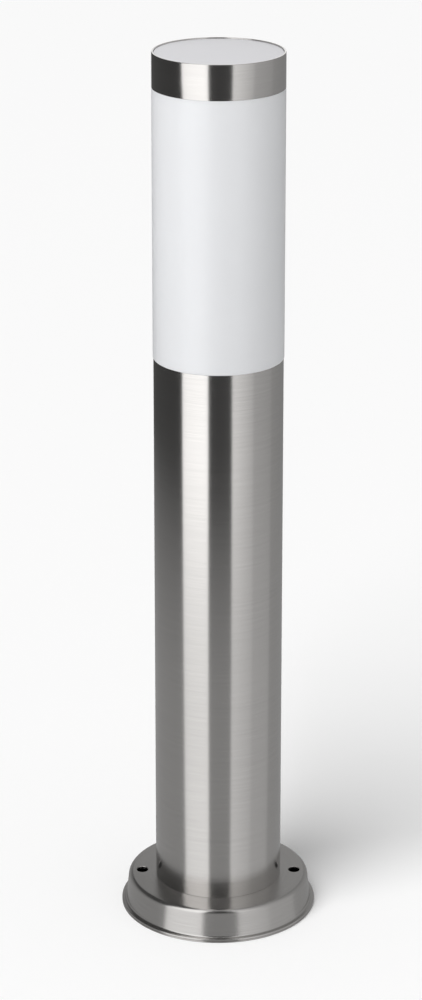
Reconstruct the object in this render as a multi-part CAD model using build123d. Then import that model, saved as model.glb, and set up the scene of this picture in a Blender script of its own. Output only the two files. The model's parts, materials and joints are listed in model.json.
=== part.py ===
from build123d import *
import os
from math import cos, radians, sin, tan

# A bollard light. Millimetres, +Z up, the ground at z = 0, and the post's axis on Z.

# Overall
TOTAL_HEIGHT = 531.0
TUBE_R = 38.05
TUBE_WALL = 1.2
HEAD_R = 38.4

# Base flange, spun from sheet
SHEET = 1.2
BASE_HEIGHT = 19.2
SHOULDER_R = 54.6
WALL_FOOT_R = 56.3
LIP_R = 59.0
HEM_HEIGHT = 2.4
FIXING_SPACING = 93.0
FIXING_HOLE_R = 3.5
CABLE_HOLE_R = 12.5
CABLE_R = 5.5

# Heights of the head
TUBE_TOP = 350.0
RING_BOTTOM = 510.4
DISC_DROP = 0.7
DISC_THICKNESS = 3.1
SEAL_THICKNESS = 0.8

# Foot plate, welded in the tube and screwed to the flange
FOOT_PLATE = 5.0
FOOT_HOLE_R = 15.0
FOOT_SCREW_CIRCLE = 28.0
FOOT_SCREW_ANGLES = (90, 210, 330)
M3, M4, M5 = 1.5, 2.0, 2.5
EARTH_POST = (22.5, 13.0)
EARTH_BARREL = (22.5, 21.0)

# Lamp carrier and the neck that it guides
SEAT_TOP = 322.0
SEAT_THICKNESS = 4.0
SEAT_INNER_R = 27.5
CARRIER_FLOOR = 3.0
COLLAR_OUTER_R = 36.5
COLLAR_INNER_R = 34.6
CARRIER_SCREW_CIRCLE = 31.4
CARRIER_SCREW_ANGLES = (30, 150, 270)
NECK_R = 34.2
NECK_BORE_R = 31.0
NECK_BOTTOM = 333.0
DIFFUSER_BORE_R = 35.6
RING_SEAT_R = 37.3
O_RING_SECTION_R = 1.2
O_RING_HEIGHT = 343.3
O_RING_FLOOR_R = 32.1
CLIP_ANGLES = (90, 210, 330)
CLIP_SHEET = 0.5
CLIP_WIDTH = 6.0
RIVET_CIRCLE = 25.0

# E27 screw shells, rolled from thin sheet. Each is a stack of rings one thread lead apart.
THREAD_LEAD = 3.629
THREAD_SHEET = 0.4
CAP_INNER_R = 11.8
CAP_DEPTH = 0.9
SLEEVE_CLEARANCE = 0.3
SLEEVE_DEPTH = 0.5
CAP_CREST_R = CAP_INNER_R + CAP_DEPTH + THREAD_SHEET
SLEEVE_INNER_R = CAP_CREST_R + SLEEVE_CLEARANCE
SLEEVE_BOTTOM = 344.0
SLEEVE_TOP = 366.0
CAP_THREAD_BOTTOM = 352.5

# Lampholder
HOLDER_R = 22.0
HOLDER_TOP = 371.0
HOLDER_FLOOR = 342.0
HOLDER_SCREW_X = 14.0
CONTACT_SHEET = 0.6
POCKET_Y = 17.0
POCKET_BOTTOM = 327.0
POCKET_TOP = 338.0

# LED bulb
BULB_TIP = 345.4
BULB_HOUSING_BOTTOM = 371.0
BULB_HOUSING_FOOT_R = 14.4
BULB_HOUSING_WALL = 1.6
BULB_HOUSING_TOP = 410.0
GLOBE_R = 28.5
GLOBE_CENTRE = 421.5
GLOBE_WALL = 1.2
CHIP_COUNT = 10
CHIP_CIRCLE = 14.0

# Terminal bracket, block and cord grip, hung under the carrier
BRACKET_SHEET = 1.5
BRACKET_HALF_WIDTH = 16.5
BRACKET_FACE_Y = 20.0
BRACKET_BOTTOM = 232.0
BLOCK_BOTTOM = 270.0
BLOCK_HEIGHT = 18.0
BLOCK_DEPTH = 16.0
POLE_PITCH = 10.0
POLE_Y = 12.0
INSERT_R = 2.8
GRIP_HEIGHT = 240.0
GRIP_SCREW_X = 9.0
WIRE_R = 1.2

SEAT_BOTTOM = SEAT_TOP - SEAT_THICKNESS
FLOOR_TOP = SEAT_TOP + CARRIER_FLOOR
PLATEAU_UNDERSIDE = BASE_HEIGHT - SHEET
FOOT_TOP = BASE_HEIGHT + FOOT_PLATE
DISC_TOP = TOTAL_HEIGHT - DISC_DROP
DISC_BOTTOM = DISC_TOP - DISC_THICKNESS
DIFFUSER_TOP = DISC_BOTTOM - SEAL_THICKNESS


def turned(*points, radius=0):
    """A solid turned about Z from a closed outline of (radius, height) points."""
    outline = FilletPolyline(*points, radius=radius, close=True)
    return revolve(Plane.XZ * make_face(outline), Axis.Z)


def cylinder(radius, bottom, top, x=0, y=0):
    return Pos(x, y, (bottom + top) / 2) * Cylinder(radius, top - bottom)


def ring(inner, outer, bottom, top, x=0, y=0):
    return cylinder(outer, bottom, top, x, y) - cylinder(inner, bottom, top, x, y)


def block(low, high):
    """A box from its lowest corner to its highest."""
    size = [b - a for a, b in zip(low, high)]
    middle = [(a + b) / 2 for a, b in zip(low, high)]
    return Pos(*middle) * Box(*size)


def round_bar(radius, start, end):
    """A cylinder between two points."""
    start, end = Vector(*start), Vector(*end)
    return Plane(start, z_dir=end - start) * Cylinder(
        radius, (end - start).length, align=(Align.CENTER, Align.CENTER, Align.MIN)
    )


def around(circle, angles):
    """The points at these angles on a circle about Z."""
    return [(circle * cos(radians(a)), circle * sin(radians(a))) for a in angles]


def socket_screw(shank_r, head_r, head_bottom, head_top, tip, x, y):
    """A vertical screw, its head above or below its tip, with a hexagon socket in the head."""
    head = fillet(cylinder(head_r, head_bottom, head_top).edges().filter_by(GeomType.CIRCLE), 0.3)
    shank = cylinder(shank_r, min(tip, head_bottom), max(tip, head_top))
    depth = 0.55 * (head_top - head_bottom)
    socket_bottom = head_top - depth if tip < head_bottom else head_bottom
    socket = Pos(0, 0, socket_bottom) * extrude(RegularPolygon(0.55 * head_r, 6), depth)
    return Pos(x, y, 0) * (head + shank - socket)


def bent_wire(points, radius):
    """A round wire along straight runs that are joined by tangent arcs."""
    points = [Vector(*p) for p in points]
    bends = []
    for before, corner, after in zip(points, points[1:], points[2:]):
        shorter = min((corner - before).length, (after - corner).length)
        half_turn = radians((corner - before).get_angle(after - corner)) / 2
        bends.append(0.45 * shorter / tan(half_turn))
    path = FilletPolyline(*points, radius=bends)
    return sweep(Plane(path @ 0, z_dir=path % 0) * Circle(radius), path)


def rolled_shell(narrow_r, depth, bottom, top):
    """A thin tube rolled into rings. Its inside is narrow_r at the roots and depth wider at the crests."""
    inside = [(narrow_r, bottom)]
    while inside[-1][1] + THREAD_LEAD <= top:
        height = inside[-1][1]
        inside += [(narrow_r + depth, height + THREAD_LEAD / 2), (narrow_r, height + THREAD_LEAD)]
    inside.append((narrow_r, top))
    outside = [(r + THREAD_SHEET, z) for r, z in reversed(inside)]
    bends = [0] + [1.0] * (len(inside) - 2) + [0]
    return turned(*inside, *outside, radius=bends * 2)


# ---- Base ----


def base_flange():
    """Flat top, rounded shoulder, tapered wall, and a flared lip with a hemmed, two-layer edge."""
    taper = (WALL_FOOT_R - SHOULDER_R) / (BASE_HEIGHT - HEM_HEIGHT)
    inside = SHEET * (1 + taper**2) ** 0.5
    layer = HEM_HEIGHT / 2
    outline = [
        ((CABLE_HOLE_R, BASE_HEIGHT), 0),
        ((SHOULDER_R, BASE_HEIGHT), 3.0),
        ((WALL_FOOT_R, HEM_HEIGHT), 1.2),
        ((LIP_R, HEM_HEIGHT), 0.5),
        ((LIP_R, layer + 0.1), 0),
        ((LIP_R - 0.35, layer), 0),
        ((LIP_R, layer - 0.1), 0),
        ((LIP_R, 0), 0.5),
        ((LIP_R - 2.0, 0), 0),
        ((LIP_R - 2.0, layer), 0),
        ((WALL_FOOT_R - inside + taper * layer, layer), 1.2),
        ((SHOULDER_R - inside + taper * SHEET, PLATEAU_UNDERSIDE), 1.8),
        ((CABLE_HOLE_R, PLATEAU_UNDERSIDE), 0),
    ]
    flange = turned(*[point for point, _ in outline], radius=[bend for _, bend in outline])
    for x in (-FIXING_SPACING / 2, FIXING_SPACING / 2):
        flange -= cylinder(FIXING_HOLE_R, PLATEAU_UNDERSIDE - 1, BASE_HEIGHT + 1, x)
    for x, y in around(FOOT_SCREW_CIRCLE, FOOT_SCREW_ANGLES):
        flange -= cylinder(M5 + 0.25, PLATEAU_UNDERSIDE - 1, BASE_HEIGHT + 1, x, y)
    return flange


def base_gasket():
    """Rubber ring inside the foot of the flange's wall, flush with the ground."""
    taper = (WALL_FOOT_R - SHOULDER_R) / (BASE_HEIGHT - HEM_HEIGHT)
    inside = SHEET * (1 + taper**2) ** 0.5

    def wall_r(height):
        return WALL_FOOT_R - inside - taper * (height - HEM_HEIGHT)

    return turned((51, 0), (54.7, 0), (wall_r(2.8), 2.8), (wall_r(6), 6), (51, 6))


def foot_plate():
    plate = ring(FOOT_HOLE_R, TUBE_R - TUBE_WALL, BASE_HEIGHT, FOOT_TOP)
    for x, y in around(FOOT_SCREW_CIRCLE, FOOT_SCREW_ANGLES):
        plate -= cylinder(M5, BASE_HEIGHT - 1, FOOT_TOP + 1, x, y)
    return plate - cylinder(M4, BASE_HEIGHT - 1, FOOT_TOP + 1, *EARTH_POST)


def foot_washers():
    places = around(FOOT_SCREW_CIRCLE, FOOT_SCREW_ANGLES)
    return Compound([ring(M5, 4.4, 16.8, PLATEAU_UNDERSIDE, x, y) for x, y in places])


def foot_screws():
    places = around(FOOT_SCREW_CIRCLE, FOOT_SCREW_ANGLES)
    return Compound([socket_screw(M5, 4.6, 12.8, 16.8, FOOT_TOP + 1, x, y) for x, y in places])


def cable_grommet():
    """Rubber bush that snaps into the flange's centre hole."""
    return turned(
        (CABLE_R, 13.5),
        (9, 13.5),
        (15, 17),
        (15, PLATEAU_UNDERSIDE),
        (CABLE_HOLE_R, PLATEAU_UNDERSIDE),
        (CABLE_HOLE_R, BASE_HEIGHT),
        (14.6, BASE_HEIGHT),
        (14.6, 21.5),
        (9.5, 25.5),
        (CABLE_R, 25.5),
    )


def earth_tag():
    """Ring tag on the foot plate, with an upright barrel for the wire."""
    x, y = EARTH_POST
    end_x, end_y = EARTH_BARREL
    flat = cylinder(4.0, FOOT_TOP, FOOT_TOP + 0.8, x, y)
    flat += block((x - 1.7, y, FOOT_TOP), (x + 1.7, end_y, FOOT_TOP + 0.8))
    barrel = cylinder(2.0, FOOT_TOP, FOOT_TOP + 7, end_x, end_y)
    bore = cylinder(WIRE_R, FOOT_TOP + 0.8, FOOT_TOP + 8, end_x, end_y)
    return flat + barrel - bore - cylinder(M4, FOOT_TOP - 1, FOOT_TOP + 2, x, y)


def earth_washer():
    return ring(M4, 4.2, FOOT_TOP + 0.8, FOOT_TOP + 1.8, *EARTH_POST)


def earth_screw():
    return socket_screw(M4, 3.8, FOOT_TOP + 1.8, FOOT_TOP + 4.6, BASE_HEIGHT + 0.8, *EARTH_POST)


# ---- Carrier in the top of the tube ----


def seat_ring():
    seat = ring(SEAT_INNER_R, TUBE_R - TUBE_WALL, SEAT_BOTTOM, SEAT_TOP)
    for x, y in around(CARRIER_SCREW_CIRCLE, CARRIER_SCREW_ANGLES):
        seat -= cylinder(M4, SEAT_BOTTOM - 1, SEAT_TOP + 1, x, y)
    return seat


def lamp_carrier():
    """Cup whose collar guides the head's neck and whose floor holds the lampholder."""
    rim = TUBE_TOP - 0.8
    cup = turned(
        (0, SEAT_TOP),
        (COLLAR_OUTER_R, SEAT_TOP),
        (COLLAR_OUTER_R, rim),
        (COLLAR_INNER_R + 0.8, rim),
        (COLLAR_INNER_R, rim - 1.2),
        (COLLAR_INNER_R, FLOOR_TOP),
        (0, FLOOR_TOP),
    )
    holes = [(M4 + 0.2, x, y) for x, y in around(CARRIER_SCREW_CIRCLE, CARRIER_SCREW_ANGLES)]
    holes += [(M3, x, y) for x, y in around(RIVET_CIRCLE, CLIP_ANGLES)]
    holes += [(M4 + 0.2, x, 0) for x in (-HOLDER_SCREW_X, HOLDER_SCREW_X)]
    holes += [(WIRE_R + 0.8, 0, y) for y in (-POCKET_Y, POCKET_Y)]
    for radius, x, y in holes:
        cup -= cylinder(radius, SEAT_TOP - 1, FLOOR_TOP + 1, x, y)
    return cup


def carrier_screws():
    places = around(CARRIER_SCREW_CIRCLE, CARRIER_SCREW_ANGLES)
    screws = [socket_screw(M4, 2.9, FLOOR_TOP, FLOOR_TOP + 2.6, 316, x, y) for x, y in places]
    return Compound(screws)


def head_clip(angle):
    """Leaf spring whose bulge snaps into the groove in the head's neck."""
    centre_z = FLOOR_TOP + CLIP_SHEET / 2
    line = FilletPolyline(
        (22.4, centre_z), (28.4, centre_z), (29.4, 334), (31.4, 337.8), (29.6, 341.5), radius=0.6
    )
    leaf = extrude(Plane.XZ * trace(line, CLIP_SHEET), CLIP_WIDTH / 2, both=True)
    leaf -= cylinder(M3, FLOOR_TOP - 1, FLOOR_TOP + 2, RIVET_CIRCLE)
    return Rot(0, 0, angle) * leaf


def clip_rivets():
    rivets = []
    for x, y in around(RIVET_CIRCLE, CLIP_ANGLES):
        shank = cylinder(M3, SEAT_TOP, FLOOR_TOP + CLIP_SHEET, x, y)
        upper_head = cylinder(2.4, FLOOR_TOP + CLIP_SHEET, FLOOR_TOP + CLIP_SHEET + 1, x, y)
        lower_head = cylinder(2.4, SEAT_TOP - 1, SEAT_TOP, x, y)
        rivets.append(lower_head + shank + upper_head)
    return Compound(rivets)


# ---- Lampholder ----


def lampholder_body():
    """Porcelain body with a round cavity above and two terminal pockets in its sides."""
    cavity_r = SLEEVE_INNER_R + SLEEVE_DEPTH + THREAD_SHEET + 0.05
    body = turned(
        (0, FLOOR_TOP),
        (HOLDER_R, FLOOR_TOP),
        (HOLDER_R, 340),
        (20.5, 344),
        (20.5, HOLDER_TOP),
        (17.0, HOLDER_TOP),
        (16.2, SLEEVE_TOP),
        (cavity_r, SLEEVE_TOP),
        (cavity_r, HOLDER_FLOOR),
        (0, HOLDER_FLOOR),
    )
    for side in (-1, 1):
        inner, outer = sorted((side * 12.0, side * 23.0))
        body -= block((-5, inner, POCKET_BOTTOM), (5, outer, POCKET_TOP))
        body -= cylinder(WIRE_R + 0.6, FLOOR_TOP - 1, POCKET_BOTTOM + 1, 0, side * POCKET_Y)
        body -= cylinder(M4, FLOOR_TOP - 1, FLOOR_TOP + 9, side * HOLDER_SCREW_X)
    for y in (-10.5, 12.9):
        body -= cylinder(0.9, POCKET_TOP - 1, HOLDER_FLOOR + 1, 0, y)
    return body - block((-1, -12.1, POCKET_TOP - 1.2), (1, -9.6, POCKET_TOP))


def holder_sleeve():
    return rolled_shell(SLEEVE_INNER_R, SLEEVE_DEPTH, SLEEVE_BOTTOM, SLEEVE_TOP)


def holder_contact():
    """Bronze leaf on the cavity's floor, sprung up at the middle to meet the bulb's contact."""
    crest = BULB_TIP - 0.9
    under = [(-12.0, HOLDER_FLOOR), (-6.5, HOLDER_FLOOR), (-2.5, crest), (2.5, crest)]
    under.append((5.0, HOLDER_FLOOR + 1.3))
    over = [(y, z + CONTACT_SHEET) for y, z in reversed(under)]
    side = Plane.YZ * make_face(Polyline(*under, *over, close=True))
    leaf = extrude(side, 2.5, both=True)
    return leaf - cylinder(0.9, HOLDER_FLOOR - 1, HOLDER_FLOOR + 1, 0, -10.5)


def holder_rivets():
    """Brass rivets from the terminals up to the centre contact and to the sleeve."""
    to_contact = cylinder(0.9, POCKET_TOP - 1.2, HOLDER_FLOOR + CONTACT_SHEET, 0, -10.5)
    to_contact += cylinder(1.3, HOLDER_FLOOR + CONTACT_SHEET, HOLDER_FLOOR + 1.2, 0, -10.5)
    to_contact += block((-1, -12.0, POCKET_TOP - 1.2), (1, -9.6, POCKET_TOP - 0.4))
    to_sleeve = cylinder(0.9, POCKET_TOP, SLEEVE_BOTTOM, 0, 12.9)
    return Compound([to_contact, to_sleeve])


def terminal_block_of_holder(side):
    """Brass block in a pocket, bored for the wire from below and for the clamping screw."""
    inner, outer = sorted((side * 12.0, side * 20.5))
    brass = block((-4, inner, POCKET_BOTTOM + 1), (4, outer, POCKET_TOP))
    brass -= cylinder(WIRE_R + 0.1, POCKET_BOTTOM, POCKET_BOTTOM + 7, 0, side * POCKET_Y)
    clamp_z = POCKET_BOTTOM + 5
    return brass - round_bar(M3, (0, side * POCKET_Y, clamp_z), (0, side * 21, clamp_z))


def holder_terminals():
    return Compound([terminal_block_of_holder(side) for side in (-1, 1)])


def slotted_screw(shank_r, head_r, head_length, tip, head_base):
    """A slotted cheese-head screw from its tip to the underside of its head."""
    tip, head_base = Vector(*tip), Vector(*head_base)
    outward = (head_base - tip).normalized()
    top = head_base + outward * head_length
    screw = round_bar(shank_r, tip, head_base) + round_bar(head_r, head_base, top)
    slot = Box(0.35 * head_r, 3 * head_r, head_length)
    return screw - Plane(top, z_dir=outward) * slot


def holder_terminal_screws():
    clamp_z = POCKET_BOTTOM + 5
    screws = []
    for side in (-1, 1):
        tip = (0, side * (POCKET_Y + WIRE_R), clamp_z)
        screws.append(slotted_screw(M3, 2.6, 1.6, tip, (0, side * 20.5, clamp_z)))
    return Compound(screws)


def holder_screws():
    """Screws up through the bracket and the carrier's floor into the lampholder."""
    head_top = SEAT_TOP - BRACKET_SHEET
    screws = []
    for x in (-HOLDER_SCREW_X, HOLDER_SCREW_X):
        screws.append(socket_screw(M4, 3.5, head_top - 3, head_top, FLOOR_TOP + 8, x, 0))
    return Compound(screws)


# ---- Terminals and wiring ----


def terminal_bracket():
    """Bent sheet: a flange under the carrier's floor and a plate that hangs down the tube."""
    width = BRACKET_HALF_WIDTH
    back = BRACKET_FACE_Y + BRACKET_SHEET
    bracket = block((-width, -8, SEAT_TOP - BRACKET_SHEET), (width, back, SEAT_TOP))
    bracket += block((-width, BRACKET_FACE_Y, BRACKET_BOTTOM), (width, back, SEAT_TOP))
    for x in (-HOLDER_SCREW_X, HOLDER_SCREW_X):
        bracket -= cylinder(M4 + 0.2, SEAT_BOTTOM, SEAT_TOP + 1, x)
    bracket -= cylinder(2.8, SEAT_BOTTOM, SEAT_TOP + 1, 0, POCKET_Y)
    through = [(x, BLOCK_BOTTOM + BLOCK_HEIGHT / 2) for x in (-POLE_PITCH / 2, POLE_PITCH / 2)]
    through += [(x, GRIP_HEIGHT) for x in (-GRIP_SCREW_X, GRIP_SCREW_X)]
    for x, z in through:
        bracket -= round_bar(M3, (x, BRACKET_FACE_Y - 1, z), (x, back + 1, z))
    return bracket


def pole_xs():
    return (-POLE_PITCH, 0, POLE_PITCH)


def pole_screw_heights():
    return (BLOCK_BOTTOM + 5, BLOCK_BOTTOM + BLOCK_HEIGHT - 5)


def terminal_block():
    front = BRACKET_FACE_Y - BLOCK_DEPTH
    top = BLOCK_BOTTOM + BLOCK_HEIGHT
    body = block((-15, front, BLOCK_BOTTOM), (15, BRACKET_FACE_Y, top))
    body = fillet(body.edges().filter_by(Axis.Z), 1.0)
    for x in pole_xs():
        body -= cylinder(INSERT_R, BLOCK_BOTTOM - 1, top + 1, x, POLE_Y)
        for z in pole_screw_heights():
            body -= round_bar(2.1, (x, front - 1, z), (x, POLE_Y, z))
    for x in (-POLE_PITCH / 2, POLE_PITCH / 2):
        middle = BLOCK_BOTTOM + BLOCK_HEIGHT / 2
        body -= round_bar(M3, (x, front - 1, middle), (x, BRACKET_FACE_Y + 1, middle))
    return body


def terminal_inserts():
    inserts = []
    for x in pole_xs():
        bottom, top = BLOCK_BOTTOM + 1, BLOCK_BOTTOM + BLOCK_HEIGHT - 1
        insert = ring(WIRE_R + 0.1, INSERT_R, bottom, top, x, POLE_Y)
        for z in pole_screw_heights():
            insert -= round_bar(M3, (x, POLE_Y - INSERT_R - 1, z), (x, POLE_Y, z))
        inserts.append(insert)
    return Compound(inserts)


def terminal_screws():
    screws = []
    for x in pole_xs():
        for z in pole_screw_heights():
            tip = (x, POLE_Y - WIRE_R, z)
            screws.append(slotted_screw(M3, 1.9, 1.5, tip, (x, POLE_Y - 6, z)))
    return Compound(screws)


def block_screws():
    middle = BLOCK_BOTTOM + BLOCK_HEIGHT / 2
    front = BRACKET_FACE_Y - BLOCK_DEPTH
    screws = []
    for x in (-POLE_PITCH / 2, POLE_PITCH / 2):
        screws.append(slotted_screw(M3, 2.7, 1.8, (x, BRACKET_FACE_Y + 3, middle), (x, front, middle)))
    return Compound(screws)


def cord_grip():
    """Saddle bar that clamps the supply cable against the bracket."""
    near, far = 6.5, 10.0
    bar = block((-12.5, near, GRIP_HEIGHT - 4), (12.5, far, GRIP_HEIGHT + 4))
    bar -= round_bar(CABLE_R, (0, far + 3.5, GRIP_HEIGHT - 5), (0, far + 3.5, GRIP_HEIGHT + 5))
    for x in (-GRIP_SCREW_X, GRIP_SCREW_X):
        bar -= round_bar(M3, (x, near - 1, GRIP_HEIGHT), (x, far + 1, GRIP_HEIGHT))
    return bar


def cord_grip_screws():
    screws = []
    for x in (-GRIP_SCREW_X, GRIP_SCREW_X):
        tip = (x, BRACKET_FACE_Y + 3, GRIP_HEIGHT)
        screws.append(slotted_screw(M3, 2.7, 1.8, tip, (x, 6.5, GRIP_HEIGHT)))
    return Compound(screws)


def live_wire():
    route = [(-10, 12, 279), (-10, 12, 292), (-9, 6, 304), (-4, -5, 311), (0, -15, 319)]
    return bent_wire(route + [(0, -POCKET_Y, 326), (0, -POCKET_Y, 333)], WIRE_R)


def neutral_wire():
    route = [(0, 12, 279), (0, 12, 293), (1.2, 14.5, 306), (0, POCKET_Y, 318)]
    return bent_wire(route + [(0, POCKET_Y, 333)], WIRE_R)


def earth_wire():
    route = [(10, 12, 275), (10, 12, 260), (17, 13, 243), (22, 10, 222), (20, 6, 195), (23, 3, 165)]
    route += [(26, 8, 135), (23, 14, 105), (25, 19, 78), (23.5, 21.5, 55)]
    return bent_wire(route + [(*EARTH_BARREL, 40), (*EARTH_BARREL, 27)], WIRE_R)


# ---- Head that lifts off ----


def diffuser():
    """Opal cylinder with a seat for the cap ring above and a grooved neck below."""
    groove_half = O_RING_SECTION_R + 0.2
    return turned(
        (NECK_BORE_R, NECK_BOTTOM),
        (NECK_R - 0.8, NECK_BOTTOM),
        (NECK_R, NECK_BOTTOM + 1.2),
        (NECK_R, O_RING_HEIGHT - groove_half),
        (O_RING_FLOOR_R, O_RING_HEIGHT - groove_half),
        (O_RING_FLOOR_R, O_RING_HEIGHT + groove_half),
        (NECK_R, O_RING_HEIGHT + groove_half),
        (NECK_R, TUBE_TOP),
        (HEAD_R, TUBE_TOP),
        (HEAD_R, RING_BOTTOM),
        (RING_SEAT_R, RING_BOTTOM),
        (RING_SEAT_R, DIFFUSER_TOP),
        (DIFFUSER_BORE_R, DIFFUSER_TOP),
        (DIFFUSER_BORE_R, TUBE_TOP + 5),
        (NECK_BORE_R, TUBE_TOP + 2),
        (NECK_BORE_R, 340.6),
        (NECK_BORE_R + 1, 339.8),
        (NECK_BORE_R + 1, 335.8),
        (NECK_BORE_R, 335.0),
    )


def cap_ring():
    return turned(
        (RING_SEAT_R, RING_BOTTOM),
        (HEAD_R, RING_BOTTOM),
        (HEAD_R, TOTAL_HEIGHT),
        (RING_SEAT_R, TOTAL_HEIGHT),
        radius=[0, 0.1, 0.35, 0.25],
    )


def disc_seal():
    return ring(DIFFUSER_BORE_R, RING_SEAT_R, DIFFUSER_TOP, DISC_BOTTOM)


def top_disc():
    disc = cylinder(RING_SEAT_R - 0.1, DISC_BOTTOM, DISC_TOP)
    return fillet(disc.edges().group_by(Axis.Z)[-1], 0.4)


def neck_o_ring():
    return Pos(0, 0, O_RING_HEIGHT) * Torus(O_RING_FLOOR_R + O_RING_SECTION_R, O_RING_SECTION_R)


# ---- LED bulb ----


def bulb_housing():
    """Hollow plastic cone that widens from the cap to the globe, with a plate for the LED board."""
    top_r = (GLOBE_R**2 - (GLOBE_CENTRE - BULB_HOUSING_TOP) ** 2) ** 0.5
    wall = BULB_HOUSING_WALL
    low, high = BULB_HOUSING_BOTTOM, BULB_HOUSING_TOP
    waist = (BULB_HOUSING_FOOT_R, low + 5)
    outer = Spline(waist, (18.6, low + 17), (top_r, high), tangents=[(0, 1), (0.45, 1)])
    inner = Spline(
        (waist[0] - wall, waist[1]),
        (18.6 - wall, low + 17),
        (top_r - wall, high),
        tangents=[(0, 1), (0.45, 1)],
    )
    foot = Polyline(waist, (waist[0], low), (CAP_INNER_R, low), (waist[0] - wall, waist[1]))
    lines = outer + foot
    lines += inner + Polyline((top_r - wall, high), (top_r, high))
    shell = revolve(Plane.XZ * make_face(lines.edges()), Axis.Z)
    return shell + cylinder(top_r - 1.9, high - 5, high - 3)


def bulb_globe():
    """Opal dome on the housing's rim."""
    ball = Pos(0, 0, GLOBE_CENTRE) * (Sphere(GLOBE_R) - Sphere(GLOBE_R - GLOBE_WALL))
    return ball - cylinder(GLOBE_R + 1, GLOBE_CENTRE - GLOBE_R - 1, BULB_HOUSING_TOP)


def led_board():
    return cylinder(21, BULB_HOUSING_TOP - 3, BULB_HOUSING_TOP - 1.6)


def led_chips():
    chips = []
    for i in range(CHIP_COUNT):
        chip = Pos(CHIP_CIRCLE, 0, BULB_HOUSING_TOP - 1.2) * Box(3, 3, 0.8)
        chips.append(Rot(0, 0, 360 * i / CHIP_COUNT) * chip)
    return Compound(chips)


def bulb_cap():
    return rolled_shell(CAP_INNER_R, CAP_DEPTH, CAP_THREAD_BOTTOM, BULB_HOUSING_BOTTOM)


def bulb_insulator():
    return turned(
        (2.5, BULB_TIP + 1.4), (4.8, BULB_TIP + 1.4), (12.1, 351.6), (12.1, 352.5), (2.5, 352.5)
    )


def bulb_contact():
    """Brass button under the cap's insulator."""
    button = Pos(0, 0, BULB_TIP + 1.4) * Sphere(4.4)
    dome = button & cylinder(4.4, BULB_TIP, BULB_TIP + 1.4)
    return dome + cylinder(2.4, BULB_TIP + 1.4, 352.0)


nodes = {
    "base_flange": base_flange(),
    "base_gasket": base_gasket(),
    "post_tube": ring(TUBE_R - TUBE_WALL, TUBE_R, BASE_HEIGHT, TUBE_TOP),
    "foot_plate": foot_plate(),
    "foot_washers": foot_washers(),
    "foot_screws": foot_screws(),
    "cable_grommet": cable_grommet(),
    "earth_tag": earth_tag(),
    "earth_washer": earth_washer(),
    "earth_screw": earth_screw(),
    "seat_ring": seat_ring(),
    "lamp_carrier": lamp_carrier(),
    "carrier_screws": carrier_screws(),
    "clip_rivets": clip_rivets(),
    "lampholder_body": lampholder_body(),
    "holder_sleeve": holder_sleeve(),
    "holder_contact": holder_contact(),
    "holder_rivets": holder_rivets(),
    "holder_terminals": holder_terminals(),
    "holder_terminal_screws": holder_terminal_screws(),
    "holder_screws": holder_screws(),
    "terminal_bracket": terminal_bracket(),
    "terminal_block": terminal_block(),
    "terminal_inserts": terminal_inserts(),
    "terminal_screws": terminal_screws(),
    "block_screws": block_screws(),
    "cord_grip": cord_grip(),
    "cord_grip_screws": cord_grip_screws(),
    "live_wire": live_wire(),
    "neutral_wire": neutral_wire(),
    "earth_wire": earth_wire(),
    "diffuser": diffuser(),
    "cap_ring": cap_ring(),
    "disc_seal": disc_seal(),
    "top_disc": top_disc(),
    "neck_o_ring": neck_o_ring(),
    "bulb_housing": bulb_housing(),
    "bulb_globe": bulb_globe(),
    "led_board": led_board(),
    "led_chips": led_chips(),
    "bulb_cap": bulb_cap(),
    "bulb_insulator": bulb_insulator(),
    "bulb_contact": bulb_contact(),
}
for number, angle in enumerate(CLIP_ANGLES, 1):
    nodes[f"head_clip_{number}"] = head_clip(angle)

os.makedirs("parts", exist_ok=True)
for name, shape in nodes.items():
    export_step(shape, f"parts/{name}.step")
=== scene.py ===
import json
from math import asin, cos, degrees, pi, radians, sin, tan

import bpy
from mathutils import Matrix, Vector


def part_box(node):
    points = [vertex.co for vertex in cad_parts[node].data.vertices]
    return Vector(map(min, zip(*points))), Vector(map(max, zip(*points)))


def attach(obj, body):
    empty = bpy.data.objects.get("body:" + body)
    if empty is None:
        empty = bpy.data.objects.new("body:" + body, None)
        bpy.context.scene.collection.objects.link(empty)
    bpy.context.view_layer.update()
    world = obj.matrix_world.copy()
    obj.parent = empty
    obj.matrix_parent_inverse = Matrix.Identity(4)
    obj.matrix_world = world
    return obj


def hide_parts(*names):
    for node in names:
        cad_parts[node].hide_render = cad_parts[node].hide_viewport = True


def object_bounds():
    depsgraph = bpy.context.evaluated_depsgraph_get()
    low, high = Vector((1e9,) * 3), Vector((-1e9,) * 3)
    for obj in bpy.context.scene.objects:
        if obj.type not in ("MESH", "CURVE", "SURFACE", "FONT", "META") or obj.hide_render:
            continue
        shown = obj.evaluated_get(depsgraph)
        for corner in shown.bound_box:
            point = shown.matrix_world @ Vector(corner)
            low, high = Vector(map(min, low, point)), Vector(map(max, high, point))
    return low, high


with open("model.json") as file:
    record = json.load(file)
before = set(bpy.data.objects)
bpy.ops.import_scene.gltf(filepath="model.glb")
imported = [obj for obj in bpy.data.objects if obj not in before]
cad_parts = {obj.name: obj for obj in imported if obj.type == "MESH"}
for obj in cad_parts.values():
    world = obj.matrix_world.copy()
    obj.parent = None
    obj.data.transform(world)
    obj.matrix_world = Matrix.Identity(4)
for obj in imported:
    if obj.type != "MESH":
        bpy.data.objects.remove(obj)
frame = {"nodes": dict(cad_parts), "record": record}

cad_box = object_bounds()

MM = 0.001
CHIP_COUNT = 10
CHIP_CIRCLE = 14.0
CHIP_WINDOW = 1.1
SMOOTH_ANGLE = radians(32)
MERGE_REACH = 1e-6
HOLE_SIDES = 40

# ---- Camera ----

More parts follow.
